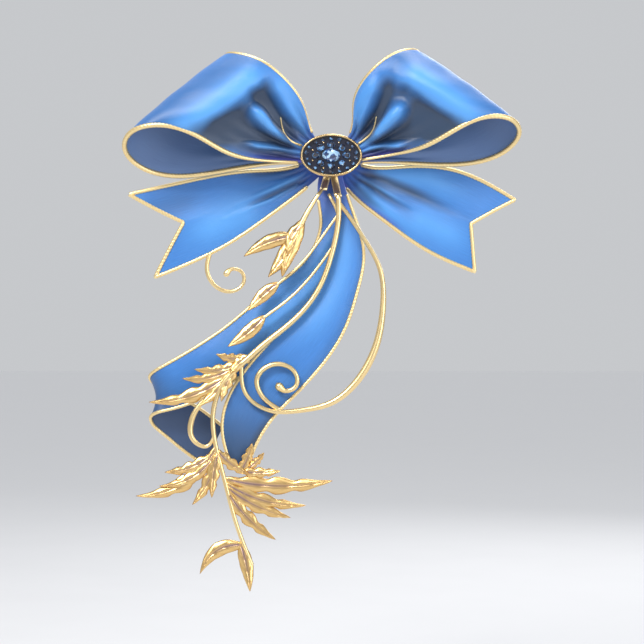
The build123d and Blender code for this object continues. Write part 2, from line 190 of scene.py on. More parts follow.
def tube(path, radius, step=0.45, sides=12, strands=0):
    """Verts and faces of a tube: strands twist round it like rope; radius is a number or f(0..1)."""
    p, s = even(path, step)
    tangent = np.gradient(p, axis=0)
    tangent /= np.linalg.norm(tangent, axis=1, keepdims=True)
    first = np.cross(tangent[0], (0, 1, 0))
    if np.linalg.norm(first) < 1e-3:
        first = np.cross(tangent[0], (1, 0, 0))
    side = first / np.linalg.norm(first)
    verts = []
    count = len(p)
    for i in range(count):
        side = side - tangent[i] * side.dot(tangent[i])
        side /= np.linalg.norm(side)
        other = np.cross(tangent[i], side)
        r = radius(s[i] / s[-1]) if callable(radius) else radius
        end = min(s[i], s[-1] - s[i])
        r = r * math.sqrt(max(1 - (1 - min(end / max(r, 1e-6), 1)) ** 2, 0.02))
        for j in range(sides):
            a = 2 * math.pi * j / sides
            k = 1.0
            if strands:
                twist = strands / 2 * (a - 2 * math.pi * s[i] / ROPE_PITCH)
                k = 1 - ROPE_GROOVE + ROPE_GROOVE * abs(math.sin(twist)) ** 0.7
            verts.append(p[i] + (side * math.cos(a) + other * math.sin(a)) * r * k)
    faces = []
    for i in range(count - 1):
        for j in range(sides):
            a, b = i * sides + j, i * sides + (j + 1) % sides
            faces.append((a, b, b + sides, a + sides))
    faces.append(tuple(range(sides))[::-1])
    faces.append(tuple((count - 1) * sides + j for j in range(sides)))
    return np.array(verts), faces


def joined(parts):
    """Several (verts, faces) as one."""
    verts, faces, base = [], [], 0
    for v, f in parts:
        verts.append(v)
        faces += [tuple(base + i for i in face) for face in f]
        base += len(v)
    return np.concatenate(verts), faces


# ---- materials -------------------------------------------------------------------------------
class Nodes:
    """A material under construction."""

    def __init__(self, name):
        self.mat = bpy.data.materials.new(name)
        self.mat.use_nodes = True
        self.tree = self.mat.node_tree
        self.shader = self.tree.nodes["Principled BSDF"]

    def new(self, kind, **values):
        node = self.tree.nodes.new(kind)
        for key, value in values.items():
            if hasattr(node, key):
                setattr(node, key, value)
            else:
                node.inputs[key.replace("_", " ")].default_value = value
        return node

    def link(self, a, b):
        self.tree.links.new(a, b)

    def noise(self, scale, detail, stretch=(1, 1, 1), coordinates="Object"):
        place = self.new("ShaderNodeTexCoord")
        mapping = self.new("ShaderNodeMapping")
        mapping.inputs["Scale"].default_value = stretch
        self.link(place.outputs[coordinates], mapping.inputs["Vector"])
        node = self.new("ShaderNodeTexNoise", Scale=scale, Detail=detail, Roughness=0.5)
        self.link(mapping.outputs["Vector"], node.inputs["Vector"])
        return node.outputs["Fac"]

    def ramp(self, value, *stops):
        node = self.new("ShaderNodeValToRGB")
        node.color_ramp.elements.remove(node.color_ramp.elements[0])
        node.color_ramp.elements[0].position = stops[0][0]
        node.color_ramp.elements[0].color = (*stops[0][1], 1)
        for position, colour in stops[1:]:
            node.color_ramp.elements.new(position).color = (*colour, 1)
        self.link(value, node.inputs["Fac"])
        return node.outputs["Color"]

    def mix(self, factor, a, b):
        node = self.new("ShaderNodeMix", data_type="RGBA", blend_type="MIX")
        for value, identifier in ((factor, "Factor_Float"), (a, "A_Color"), (b, "B_Color")):
            socket = next(s for s in node.inputs if s.identifier == identifier)
            if isinstance(value, bpy.types.NodeSocket):
                self.link(value, socket)
            else:
                socket.default_value = value if isinstance(value, (int, float)) else (*value, 1)
        return next(s for s in node.outputs if s.identifier == "Result_Color")

    def math(self, operation, a, b=0.0):
        node = self.new("ShaderNodeMath", operation=operation)
        for i, value in enumerate((a, b)):
            if isinstance(value, bpy.types.NodeSocket):
                self.link(value, node.inputs[i])
            else:
                node.inputs[i].default_value = value
        return node.outputs[0]

    def range(self, value, low, high):
        node = self.new("ShaderNodeMapRange")
        node.inputs["To Min"].default_value = low
        node.inputs["To Max"].default_value = high
        self.link(value, node.inputs["Value"])
        return node.outputs["Result"]

    def bump(self, height, strength, distance):
        node = self.new("ShaderNodeBump", Strength=strength, Distance=distance)
        self.link(height, node.inputs["Height"])
        self.link(node.outputs["Normal"], self.shader.inputs["Normal"])

    def set(self, **values):
        for key, value in values.items():
            self.shader.inputs[key.replace("_", " ")].default_value = value


def satin(name, light, base, deep, violet_shade, painted_highlight, roughness=0.34):
    """Satin: long warp streaks and a fine weave, with painted shade in its folds, painted highlights, and
    painted shade tinted purple where it is gathered.
    """
    m = Nodes(name)
    streaks = m.noise(9.0, 4, (1.5, 60, 1), "UV")
    cloud = m.noise(70.0, 2)
    colour = m.ramp(streaks, (0.30, base), (0.72, light))
    colour = m.mix(m.range(cloud, 0.0, 0.35), colour, base)
    # the shade attribute paints highlights (blue), shade in folds (green) and purple-tinted shade (red) into
    # the colour
    shade = m.new("ShaderNodeVertexColor", layer_name="shade")
    split = m.new("ShaderNodeSeparateColor")
    m.link(shade.outputs["Color"], split.inputs["Color"])
    colour = m.mix(split.outputs["Blue"], colour, painted_highlight)
    colour = m.mix(split.outputs["Green"], colour, deep)
    colour = m.mix(split.outputs["Red"], colour, violet_shade)
    m.link(colour, m.shader.inputs["Base Color"])
    place = m.new("ShaderNodeTexCoord")
    weave = []
    for direction, scale in (("X", 260.0), ("Y", 340.0)):
        wave = m.new("ShaderNodeTexWave", wave_type="BANDS", bands_direction=direction, Scale=scale,
                     Distortion=0.6)
        m.link(place.outputs["UV"], wave.inputs["Vector"])
        weave.append(wave.outputs["Fac"])
    height = m.math("ADD", m.math("MULTIPLY", *weave), m.math("MULTIPLY", streaks, 1.4))
    m.bump(height, 0.22, 0.00012)
    m.link(m.range(streaks, roughness - 0.05, roughness + 0.09), m.shader.inputs["Roughness"])
    m.set(Sheen_Weight=0.15, Sheen_Roughness=0.4, Anisotropic=0.5, Specular_IOR_Level=0.6, Coat_Weight=0.10,
          Coat_Roughness=0.3)
    return m.mat


def gold(name, light, base, deep, hollow, roughness=0.28, scale=240.0, metallic=1.0, grain=0.10):
    """Gold-coloured metal or metallic thread: pointiness paints shade, warmer and duller, into its hollows
    and a highlight onto its edges, and its shade attribute paints further shade, plain or tinted purple.
    """
    m = Nodes(name)
    patches = m.noise(scale, 4)
    fine = m.noise(scale * 7, 3)
    geometry = m.new("ShaderNodeNewGeometry")
    # painted shade in hollows (deep) and painted highlight on edges (light), by pointiness
    painted_shade_and_highlight = m.ramp(geometry.outputs["Pointiness"], (0.40, deep), (0.50, base), (0.58, light))
    colour = m.mix(m.range(patches, 0.0, 0.5), painted_shade_and_highlight, base)
    # the shade attribute paints shade (green) and purple-tinted shade (red)
    shade = m.new("ShaderNodeVertexColor", layer_name="shade")
    split = m.new("ShaderNodeSeparateColor")
    m.link(shade.outputs["Color"], split.inputs["Color"])
    colour = m.mix(split.outputs["Green"], colour, deep)
    colour = m.mix(split.outputs["Red"], colour, hollow)
    m.link(colour, m.shader.inputs["Base Color"])
    m.link(m.range(patches, roughness - 0.08, roughness + 0.14), m.shader.inputs["Roughness"])
    m.bump(m.math("ADD", patches, m.math("MULTIPLY", fine, 0.5)), grain, 0.00012)
    m.set(Metallic=metallic, Specular_IOR_Level=0.6)
    return m.mat


def plain(name, light, dark, roughness, scale, bump_strength, distance=0.0002, metallic=0.0, **extra):
    """Foam, card, enamel, plain metal and the floor: mottled colour, grain and uneven gloss."""
    m = Nodes(name)
    grain = m.noise(scale, 5)
    soft = m.noise(scale * 0.12, 2)
    m.link(m.mix(soft, m.ramp(grain, (0.3, dark), (0.7, light)), light), m.shader.inputs["Base Color"])
    m.link(m.range(grain, roughness - 0.06, roughness + 0.10), m.shader.inputs["Roughness"])
    m.bump(grain, bump_strength, distance)
    m.set(Metallic=metallic, **extra)
    return m.mat


def jewel(name, light, base, deep, flashes):
    """Cut glass over foil: near-black blue with painted glints from facet to facet, and mixed toward the base
    colour where the surface turns away from the view.
    """
    m = Nodes(name)
    # noise paints glints of the light colour onto the dark stone
    flash = m.noise(650.0, 1)
    rim = m.new("ShaderNodeLayerWeight", Blend=0.35)
    colour = m.ramp(flash, (flashes - 0.14, deep), (flashes - 0.03, base), (flashes + 0.03, light))
    colour = m.mix(m.range(rim.outputs["Facing"], 0.0, 0.3), colour, base)
    m.link(colour, m.shader.inputs["Base Color"])
    m.link(m.range(flash, 0.03, 0.10), m.shader.inputs["Roughness"])
    m.bump(m.noise(900.0, 2), 0.03, 0.00005)
    m.set(Metallic=0.35, Specular_IOR_Level=0.9, IOR=1.9, Coat_Weight=1.0, Coat_Roughness=0.03)
    return m.mat


# purple colour of the painted shade in the gold's hollows, on the leaves
VIOLET = (0.060, 0.045, 0.330)
# satin colours: two streak tones, then the painted shade, the purple painted shade and the painted highlight
SATIN = satin("satin_blue", (0.048, 0.235, 0.640), (0.028, 0.155, 0.480), (0.020, 0.046, 0.098),
              (0.065, 0.065, 0.360), (0.100, 0.370, 0.840))
# the back of the satin: darker, as the back of single-faced satin is, and darker still as painted shade,
# which the insides of the loops show
INSIDE = satin("satin_inside", (0.105, 0.205, 0.420), (0.085, 0.155, 0.345), (0.026, 0.058, 0.140),
               (0.120, 0.105, 0.400), (0.100, 0.240, 0.480), 0.45)
# gold colours: painted edge highlight, base, painted shade in hollows, then the purple of the painted shade
CORD = gold("gold_cord", (0.98, 0.83, 0.49), (0.88, 0.63, 0.27), (0.40, 0.17, 0.05), VIOLET, 0.34, 300.0, 0.9)
CAST = gold("gold_cast", (0.99, 0.85, 0.52), (0.86, 0.60, 0.25), (0.38, 0.15, 0.04), VIOLET, 0.27, 150.0)
BEZEL = gold("gold_bezel", (0.98, 0.84, 0.55), (0.86, 0.64, 0.32), (0.36, 0.18, 0.06), VIOLET, 0.2, 260.0)
STEEL = plain("steel_wire", (0.72, 0.73, 0.75), (0.50, 0.51, 0.53), 0.32, 900.0, 0.15, metallic=1.0)
FOAM = plain("white_foam", (0.86, 0.86, 0.84), (0.62, 0.62, 0.60), 0.85, 1500.0, 0.8, 0.0004)
CARD = plain("grey_card", (0.50, 0.49, 0.46), (0.36, 0.35, 0.33), 0.8, 1100.0, 0.35)
ENAMEL = plain("dark_enamel", (0.006, 0.009, 0.030), (0.003, 0.004, 0.014), 0.2, 800.0, 0.2, Coat_Weight=0.6)
JEWEL = jewel("jewel_deep", (0.20, 0.46, 0.82), (0.012, 0.045, 0.160), (0.002, 0.006, 0.026), 0.56)
# a paler copy of the jewel for the centre stone: a painted highlight at the brooch's centre
JEWEL_PAINTED_HIGHLIGHT = jewel("jewel_pale", (0.50, 0.76, 0.96), (0.050, 0.160, 0.460), (0.008, 0.024, 0.100), 0.50)

# ---- loops -----------------------------------------------------------------------------------
# each loop is taken as cut from 63.5 mm ribbon, waisted at both ends, and gathered there
PIN_DEPTH = 14.75       # the staple's legs
FRONT, BACK = -(PIN_DEPTH + 1.4), -(PIN_DEPTH - 1.4)
# each loop's lower and upper edge, from the knot round the front to the knot again, as (x, y, z)
LOOPS = {
    "loop_left": (
        [(-4, FRONT, -3), (-14, -16.6, -2.6), (-30, -21.5, -2.2), (-45, -29.4, 0.6), (-58, -35.4, 7.4),
         (-74, -38.4, 11.4), (-86, -34.4, 8.5), (-89.2, -26.4, 2), (-82, -18, -5.4), (-66, -14, -8.4),
         (-45, -13.4, -5.6), (-24, -13.4, -2.8), (-4, BACK, -3)],
        [(-4, FRONT, 4.8), (-7.8, -17, 9.5), (-12, -22.4, 20.8), (-20, -28.4, 32), (-29, -31.4, 39),
         (-38.5, -29, 42.8), (-45.4, -22.4, 43.8), (-44.5, -16, 42), (-37, -12.9, 36.5), (-27, -12.4, 28),
         (-17, -12.9, 17.5), (-9, -13.4, 9), (-4, BACK, 4.8)]),
    "loop_right": (
        [(4, FRONT, -3), (14, -16.6, -1.4), (28, -21, 0.6), (41, -28.4, 3.6), (53, -34.4, 9.8),
         (66, -37.4, 15), (77, -34.4, 14.2), (81.2, -26.4, 9), (75, -18, 1.6), (61, -14, -2.7),
         (43, -13.4, -3.2), (23, -13.4, -2.2), (4, BACK, -3)],
        [(4, FRONT, 4.8), (7.8, -17, 9.4), (9.6, -22.4, 22), (14.2, -28.4, 32), (22, -31.4, 39.6),
         (31, -29, 44.4), (37.6, -22.4, 45), (37, -16, 43), (31, -12.9, 37), (23.4, -12.4, 28.4),
         (15, -12.9, 18), (9, -13.4, 9), (4, BACK, 4.8)]),
}


# the front panel's forms, as (width, points): what stands proud, and what falls away between; the proud forms
# also get painted highlights and the sunk ones painted shade
LOOP_FORMS = {
    "loop_left": {
        "band": (6.2, (-64, 9), (-50, 19), (-36, 30), (-27, 38)),
        "tongue": (2.6, (-13, 3.8), (-19, 6.5), (-27, 12.5), (-36, 21.5)),
        "lobe": (4.6, (-12, 9), (-14.5, 17), (-19.5, 26), (-26, 34)),
        "streak": (1.3, (-13, 0.8), (-24, 3.0), (-38, 4.6)),
        "valley": (8.6, (-15, 2), (-28, 5.5), (-42, 9), (-54, 8), (-72, 6)),
        "gully": (4.8, (-17.5, 7.5), (-23.5, 15), (-28, 24), (-32, 34)),
        "wedge": (5.6, (-47, 12), (-38, 21), (-30, 29)),
        "tuck": [(-12.6, 4.6), (-17, 6.2), (-20.5, 10), (-22, 16.5)]},
    "loop_right": {
        "band": (6.2, (66, 10), (54, 20), (40, 30), (27, 38)),
        "tongue": (2.6, (13, 4.5), (18, 8), (25, 14.5), (33, 22)),
        "lobe": (4.4, (10.5, 9), (12, 17), (15.5, 26), (22, 34)),
        "streak": (1.3, (13, 3.0), (22, 4.0), (34, 4.6)),
        "valley": (8.2, (14, 3), (26, 7), (38, 11), (52, 9), (68, 8)),
        "gully": (4.4, (15.5, 9), (20, 17), (23, 25), (26, 34)),
        "wedge": (5.6, (45, 12), (36, 22), (27, 30)),
        "tuck": [(11.6, 5.4), (15.5, 8), (18.6, 12), (19.6, 17)]},
}


def loop_surface(name, nu=170, nv=84):
    """A loop's grid, its side, and its painted purple shade, painted shade and painted highlight."""
    lower, upper = LOOPS[name]
    side = -1 if name == "loop_left" else 1
    u, v = np.linspace(0, 1, nu), np.linspace(0, 1, nv)
    low, high = spline(lower, u), spline(upper, u)
    grid = low[:, None] * (1 - v[None, :, None]) + high[:, None] * v[None, :, None]
    out = normals(grid) * side
    uu, vv = np.meshgrid(u, v, indexing="ij")
    inner = np.sin(np.pi * vv) ** 0.5
    x, z = grid[:, :, 0], grid[:, :, 2]
    drawn = {k: stroke(x, z, *f) for k, f in LOOP_FORMS[name].items() if k != "tuck"}
    front = ease(uu, 0.02, 0.08) * (1 - ease(uu, 0.36, 0.46))
    behind = ease(1 - uu, 0.03, 0.12) * (1 - ease(1 - uu, 0.20, 0.40))
    near = ease(uu, 0.012, 0.05) * np.exp(-(uu / 0.15) ** 2)
    near_back = ease(1 - uu, 0.012, 0.05) * np.exp(-((1 - uu) / 0.17) ** 2)
    pleats = np.cos(2 * np.pi * (6.5 * vv + 0.15 * side) + 1.2 * np.sin(5 * vv))
    hollow = np.clip(1.15 * drawn["valley"] + 1.1 * drawn["gully"] + 0.9 * drawn["wedge"]
                     - 1.3 * drawn["tongue"] - 0.75 * drawn["band"] - 0.9 * drawn["streak"]
                     - 0.35 * drawn["lobe"], 0, 1)
    clear = ease(np.hypot(x, 1.3 * z), 13.0, 25.0)
    lift = 2.2 * inner * clear * ease(uu, 0.05, 0.20) * (1 - ease(uu, 0.52, 0.66))
    lift += front * clear * inner * (3.4 * drawn["band"] + 3.2 * drawn["tongue"] + 2.6 * drawn["lobe"]
                             + 1.2 * drawn["streak"] - 4.6 * hollow)
    lift += behind * inner * (0.9 * np.cos(2 * np.pi * 2.5 * vv) - 0.6)
    lift += (near + near_back) * (0.4 + 0.8 * ease(np.minimum(uu, 1 - uu), 0.04, 0.12)) * (pleats - 1)
    lift += 0.12 * inner * np.sin(2 * np.pi * (3 * vv + 2 * uu)) * ease(uu, 0.1, 0.3)
    grid = grid + out * lift[:, :, None]
    # painted shade in the hollows, in the pleats' valleys near the knot and on the outer part before the fold
    dark = front * hollow + 0.35 * (near + near_back) * (0.5 - 0.5 * pleats)
    dark += 0.45 * ease(uu, 0.30, 0.40) * (1 - ease(uu, 0.42, 0.52)) * (1 - drawn["band"])
    # painted highlights on the band, tongue, lobe and streak
    painted_highlight = front * (0.85 * drawn["band"] + 0.9 * drawn["tongue"] + 0.6 * drawn["lobe"]
                    + 0.8 * drawn["streak"])
    # painted shade tinted purple where the loop is gathered at the knot, and a painted shadow beside the
    # lower gold edge near the knot
    violet_shade = 0.75 * np.exp(-(np.minimum(uu, 1 - uu) / 0.07) ** 2)
    violet_shade += 0.8 * bump(vv, 0.0, 0.10) * (1 - ease(uu, 0.12, 0.22))
    return grid, side, violet_shade, dark, painted_highlight


def tuck_rope(name, grid):
    """A short gold tuck line that curves up the front panel from the knot."""
    front = grid[:len(grid) // 3].reshape(-1, 3)
    path = []
    for x, z in spline(LOOP_FORMS[name]["tuck"], np.linspace(0, 1, 40)):
        spot = front[np.argmin((front[:, 0] - x) ** 2 + (front[:, 2] - z) ** 2)]
        path.append((x, spot[1] - 0.35, z))
    path = np.array(path)
    path[:, 1] = np.convolve(np.pad(path[:, 1], 4, "edge"), np.ones(9) / 9, "valid")
    return tube(path, lambda t: 0.52 - 0.22 * t, sides=10)


def make_loops():
    for name in LOOPS:
        grid, side, violet_shade, dark, painted_highlight = loop_surface(name)
        for tag, column, fuller in (("lower", 0, 0.45), ("upper", -1, 0.10)):
            verts, faces = tube(
                grid[9:-9, column],
                lambda t: 0.70 + fuller * ease(t, 0.08, 0.20) * ease(1 - t, 0.05, 0.15), strands=2)
            finish_mesh(f"{name}_{tag}_rope", verts, faces, name, [CORD],
                                     [f"{name}_{tag}_edge"])
        verts, faces = tuck_rope(name, grid)
        finish_mesh(name + "_tuck_rope", verts, faces, name, [CORD])
        if side < 0:
            grid, violet_shade, dark, painted_highlight = grid[:, ::-1], violet_shade[:, ::-1], dark[:, ::-1], painted_highlight[:, ::-1]
        body = cloth(name + "_satin", grid, name, [SATIN, INSIDE], [name + "_ribbon"],
                     violet_shade, dark, painted_highlight)


# ---- swallow-tailed ends ---------------------------------------------------------------------
# each tail's layer, lower edge, upper edge and how far in its V-cut reaches
TAILS = {
    "tail_left": (TAIL_LEFT,
                  [(-1.2, -4), (-9.5, -11.5), (-24, -22.8), (-46, -38), (-77.8, -52.7)],
                  [(-3.6, 3), (-15, -3), (-36, -5.5), (-62, -9.8), (-89.3, -16.1)], 0.215),
    "tail_right": (TAIL_RIGHT,
                   [(1.2, -4), (6, -12), (22.2, -26.6), (41.8, -40.4), (63.4, -50.3)],
                   [(3.6, 3), (14, -3), (34, -3.7), (55, -5.6), (81, -18.7)], 0.145),
}


# folds that run out from the knot, as (weight, width, points): painted shade and painted highlights, which
# also sink and raise the cloth a little
TAIL_FORMS = {
    "tail_left": {
        "dark": [(0.8, 3.0, (-12, -2.6), (-26, -5), (-46, -8.8)),
                 (0.8, 1.8, (-11, -9), (-26, -16), (-46, -25)),
                 (0.35, 6.0, (-80, -24), (-68, -20), (-52, -15))],
        "painted_highlight": [(1.0, 0.9, (-10, -6.2), (-22, -11.5), (-42, -20.4)),
                 (0.8, 0.8, (-15, -11.6), (-27, -18.4), (-48, -27)),
                 (0.9, 8.0, (-40, -24), (-56, -31), (-70, -36))]},
    "tail_right": {
        "dark": [(0.9, 2.2, (9, -7.2), (22, -15), (40, -26)), (1.0, 2.8, (15, -6.0), (34, -14), (60, -27)),
                 (0.7, 1.5, (8, -10.6), (18, -19), (31, -28))],
        "painted_highlight": [(1.0, 0.9, (12, -8.0), (22, -13.6), (36, -22)), (0.9, 4.4, (22, -5.6), (42, -9), (66, -20)),
                 (0.8, 2.4, (13, -12.9), (22, -21), (40, -34)), (0.8, 6.0, (40, -28), (54, -35), (64, -42))]},
}


def tail_surface(name, nu=120, nv=64):
    """A tail's grid, its side, and its painted purple shade, painted shade and painted highlight."""
    layer, lower, upper, cut = TAILS[name]
    side = -1 if name == "tail_left" else 1
    grid = np.zeros((nu, nv, 3))
    u, v = np.linspace(0, 1, nu), np.linspace(0, 1, nv)
    vv, uu = np.meshgrid(v, u)
    for j, across in enumerate(v):
        t = u * (1 - cut * (1 - abs(2 * across - 1)))
        low, high = on_layer(layer, spline(lower, t)), on_layer(layer, spline(upper, t))
        grid[:, j] = low * (1 - across) + high * across
    x, z = grid[:, :, 0].copy(), grid[:, :, 2].copy()
    dark, painted_highlight = (
        np.clip(sum(weight * stroke(x, z, *f, fade=0.6) for weight, *f in TAIL_FORMS[name][k]), 0, 1)
        for k in ("dark", "painted_highlight"))
    inner = np.sin(np.pi * vv) ** 0.5
    near = ease(uu, 0.10, 0.16) * np.exp(-(uu / 0.30) ** 2)
    pleats = np.cos(2 * np.pi * (4.5 * vv + 0.2))
    away = ease(uu, 0.10, 0.25)
    lift = inner * away * (1.0 * painted_highlight - 1.2 * dark)
    lift += 0.45 * near * pleats * inner
    lift += 0.9 * np.sin(2 * np.pi * (0.9 * uu + 0.25 * vv)) * ease(uu, 0.35, 0.9)
    grid[:, :, 1] -= 0.8 * lift
    # painted shade along the dark folds and between the pleats near the knot, less under the highlights; the
    # painted highlights are returned last
    dark = away * (0.95 * dark - 0.4 * painted_highlight) + 0.45 * near * (0.5 - 0.5 * pleats)
    # painted shade tinted purple near the knot, and on the right tail a painted shadow beside its lower gold
    # edge
    violet_shade = 0.8 * np.exp(-(uu / 0.16) ** 2)
    violet_shade += 0.9 * bump(vv, 0, 0.07) * (1 - ease(uu, 0.40, 0.60)) * (side > 0)
    return grid, side, violet_shade, dark, 0.75 * away * painted_highlight


def make_tails():
    for name in TAILS:
        grid, side, violet_shade, dark, painted_highlight = tail_surface(name)
        rope = [grid[16:, -1], grid[-1, ::-1], grid[:15:-1, 0]]
        path = np.concatenate([rope[0], rope[1][1:-1], rope[2]])
        if side < 0:
            grid, violet_shade, dark, painted_highlight = grid[:, ::-1], violet_shade[:, ::-1], dark[:, ::-1], painted_highlight[:, ::-1]
        body = cloth(name + "_satin", grid, name, [SATIN, INSIDE], [name + "_ribbon"],
                     violet_shade, dark, painted_highlight)
        verts, faces = tube(path, 0.92, strands=2)
        edge = finish_mesh(name + "_rope", verts, faces, name, [CORD], [name + "_edge"])
    curl = [(-53.4, -41.4), (-54.9, -49.5), (-51, -56.8), (-43.8, -58.9), (-38.8, -55.2), (-39.6, -50.4),
            (-44.4, -49.2), (-47, -52.4)]
    verts, faces = tube(on_layer(TAIL_LEFT, spline(curl, np.linspace(0, 1, 120))),
                        lambda t: 1.0 - 0.25 * t + 0.7 * bump(t, 0.97, 0.05), strands=0)
    finish_mesh("tail_left_curl_wire", verts, faces, "tail_left", [CAST], ["tail_left_curl"])


# ---- streamers -------------------------------------------------------------------------------
# each streamer's layer, left edge and right edge, as (x, z) or (x, z, behind its layer)
STREAMERS = {
    "streamer_outer": (
        STREAMER_OUTER,
        [(-4, -2, 0), (-6, -14, 0), (-4.5, -29, 0), (-12, -46, 0), (-27, -58.5, 0), (-44, -73, 0),
         (-60, -84, 0), (-73, -91.5, 1), (-78.2, -94.6, 2.7), (-80, -97, 6), (-78.4, -99.6, 9.3),
         (-73, -103, 11), (-60, -110, 12), (-48, -119, 12)],
        [(4, -2, 0), (5, -14, 0), (9, -32, 0), (4, -55, 0), (-11, -73, 0), (-30, -89.5, 0),
         (-48, -101.5, 0), (-70, -110.6, 1), (-77.4, -112.6, 2.7), (-79.5, -114.6, 6), (-78.6, -118, 9.3),
         (-75, -121.5, 11), (-66, -129, 12), (-56, -136, 12)]),
    "streamer_inner": (
        STREAMER_INNER,
        [(-4, -2), (-2, -14), (3, -25), (1.5, -38), (-3, -54), (-13, -68), (-25.5, -80), (-37, -93),
         (-45, -106), (-47.5, -119), (-44, -134)],
        [(4, -2), (6.5, -14), (11, -28), (14.3, -42), (11.5, -59), (6, -75.5), (-3, -90), (-14.5, -103),
         (-25.5, -114.5), (-32, -124.5), (-37, -136.5)]),
}


def streamer_surface(name, nu=190, nv=26):
    """A streamer's grid, and its painted purple shade, painted shade and painted highlight."""
    layer, left, right = STREAMERS[name]
    u, v = np.linspace(0, 1, nu), np.linspace(0, 1, nv)
    uu, vv = np.meshgrid(u, v, indexing="ij")
    a, b = on_layer(layer, spline(left, u)), on_layer(layer, spline(right, u))
    grid = a[:, None] * (1 - v[None, :, None]) + b[:, None] * v[None, :, None]
    away = ease(uu, 0.12, 0.25)
    crown = np.sin(np.pi * vv) * (0.55 if name == "streamer_inner" else 0.7)
    ripple = 0.3 * np.sin(2 * np.pi * (2.2 * uu + 0.35 * vv))
    grid[:, :, 1] -= away * (crown + ripple * np.sin(np.pi * vv))
    # painted shade where the streamer folds under and along its right edge
    if name == "streamer_outer":
        fold = ease(uu, 0.68, 0.80)
        dark = 0.75 * fold + 0.5 * ease(vv, 0.6, 1.0) * (1 - ease(uu, 0.15, 0.4))
    else:
        fold = ease(uu, 0.70, 0.97)
        dark = 0.85 * fold + 0.35 * ease(vv, 0.75, 1.0) * ease(uu, 0.1, 0.3)
    # painted shade tinted purple near the knot, and a painted highlight along the streamer's raised middle
    violet_shade = 0.75 * np.exp(-(uu / 0.14) ** 2)
    painted_highlight = 0.5 * bump(vv, 0.42, 0.28) * ease(uu, 0.10, 0.25) * (1 - ease(uu, 0.45, 0.65))
    return grid, violet_shade, dark, painted_highlight


def make_streamers():
    for name in STREAMERS:
        grid, violet_shade, dark, painted_highlight = streamer_surface(name)
        for tag, column in (("left", 0), ("right", -1)):
            verts, faces = tube(grid[18:, column], 0.8, strands=2)
            finish_mesh(f"{name}_{tag}_rope", verts, faces, name, [CORD],
                                     [f"{name}_{tag}_edge"])
        body = cloth(name + "_satin", grid, name, [SATIN, INSIDE], [name + "_ribbon"],
                     violet_shade, dark, painted_highlight)


# ---- gold filigree ---------------------------------------------------------------------------
def wire(name, layer, points, radius, body, nodes, lug=False):
    """A round stem through front-view points, and the lug it hangs on if it has one."""
    path = on_layer(layer, spline(points, np.linspace(0, 1, 200)))
    parts = [tube(path, radius, sides=14)]
    if lug:
        parts.append(lug_plate(layer, points[0]))
    verts, faces = joined(parts)
    return finish_mesh(name, verts, faces, body, [CAST], nodes)


LUG_HALF_W = 1.6
EYE_DROP = 1.0          # a lug starts this far under the rivet's axis


def lug_plate(layer, end, nu=14, nv=7):
    """The lug from the rivet to a stem, a little thicker along its middle."""
    v = np.linspace(-1, 1, nv)
    rows = []
    for t in np.linspace(0, 1, nu):
        x, z = end[0] * t, -EYE_DROP + end[1] * t
        rows.append([(x + LUG_HALF_W * s, z) for s in v])
    grid = on_layer(layer, np.array(rows).reshape(-1, 2)).reshape(nu, nv, 3)
    n = normals(grid) * (0.28 + 0.22 * (1 - v ** 2))[None, :, None]
    return np.concatenate([(grid + n).reshape(-1, 3), (grid - n).reshape(-1, 3)]), shell_faces(nu, nv)


def leaf(layer, base, tip, width, lean, lobes=4, thick=0.9, curl=1.6, lift=0.0, cut=0.34):
    """An acanthus leaf: lobes that point at its tip, a sunk midrib with a vein to each lobe.

    The tip curls forward by curl, and lean bends the leaf sideways. The last result is its painted shade:
    tinted purple along the midrib near the base, and darker along the veins.
    """
    base, tip = np.array(base, float), np.array(tip, float)
    along = tip - base
    length = np.linalg.norm(along)
    along /= length
    across = np.array([-along[1], along[0]])
    nu, nv = 56, 15
    top, under, hollow = [], [], []
    for t in np.linspace(0, 1, nu):
        centre = base + along * length * t - across * lean * 4 * t * (1 - t)
        tooth = (lobes * t + 0.15) % 1.0
        half = 0.5 * width * (math.sin(math.pi * min(t * 0.98 + 0.02, 1) ** 0.78) ** 0.85 + 0.02)
        half *= 1.08 - cut * (0.5 - 0.5 * math.cos(2 * math.pi * tooth ** 1.7)) * min(1, 3 * (1 - t))
        for s in np.linspace(-1, 1, nv):
            p = centre + across * half * s + along * 0.8 * cut * abs(s) * width * (1 - t) * t
            y = -float(depth(layer, p[0], p[1])) - lift - curl * t ** 3
            side_vein = (lobes * t + 0.9 * abs(s)) % 1.0 - 0.5
            vein = math.exp(-(s / 0.15) ** 2) + 0.5 * math.exp(-(side_vein / 0.13) ** 2)
            dome = thick * (1 - abs(s) ** 2.6) - 0.34 * thick * vein * (1 - s * s)
            dome *= min(1.0, 6 * t + 0.4, 5 * (1 - t) + 0.25)
            top.append((p[0], y - dome, p[1]))
            under.append((p[0], y + 0.35 * thick * (1 - s * s) + 0.02, p[1]))
            # painted shade tinted purple along the midrib near the base, and painted shade in the veins
            violet_shade = 0.75 * math.exp(-(s / 0.20) ** 2) * (1 - t) ** 1.5 * min(1, 9 * t)
            hollow.append((violet_shade, 0.5 * min(vein, 1), 0, 1))
    return np.array(top + under), [face[::-1] for face in shell_faces(nu, nv)], hollow + hollow


def spray(name, layer, outlines, body, nodes, thick=0.9, curl=1.6, cut=0.34):
    """Leaves as (base, tip, width, lean), later ones a little further forward."""
    leaves = [leaf(layer, *outline, thick=thick, curl=curl, lift=0.12 * i, cut=cut)
              for i, outline in enumerate(outlines)]
    verts, faces = joined([(v, f) for v, f, hollow in leaves])
    return finish_mesh(name, verts, faces, body, [CAST], nodes,
                       shade=[c for v, f, hollow in leaves for c in hollow])


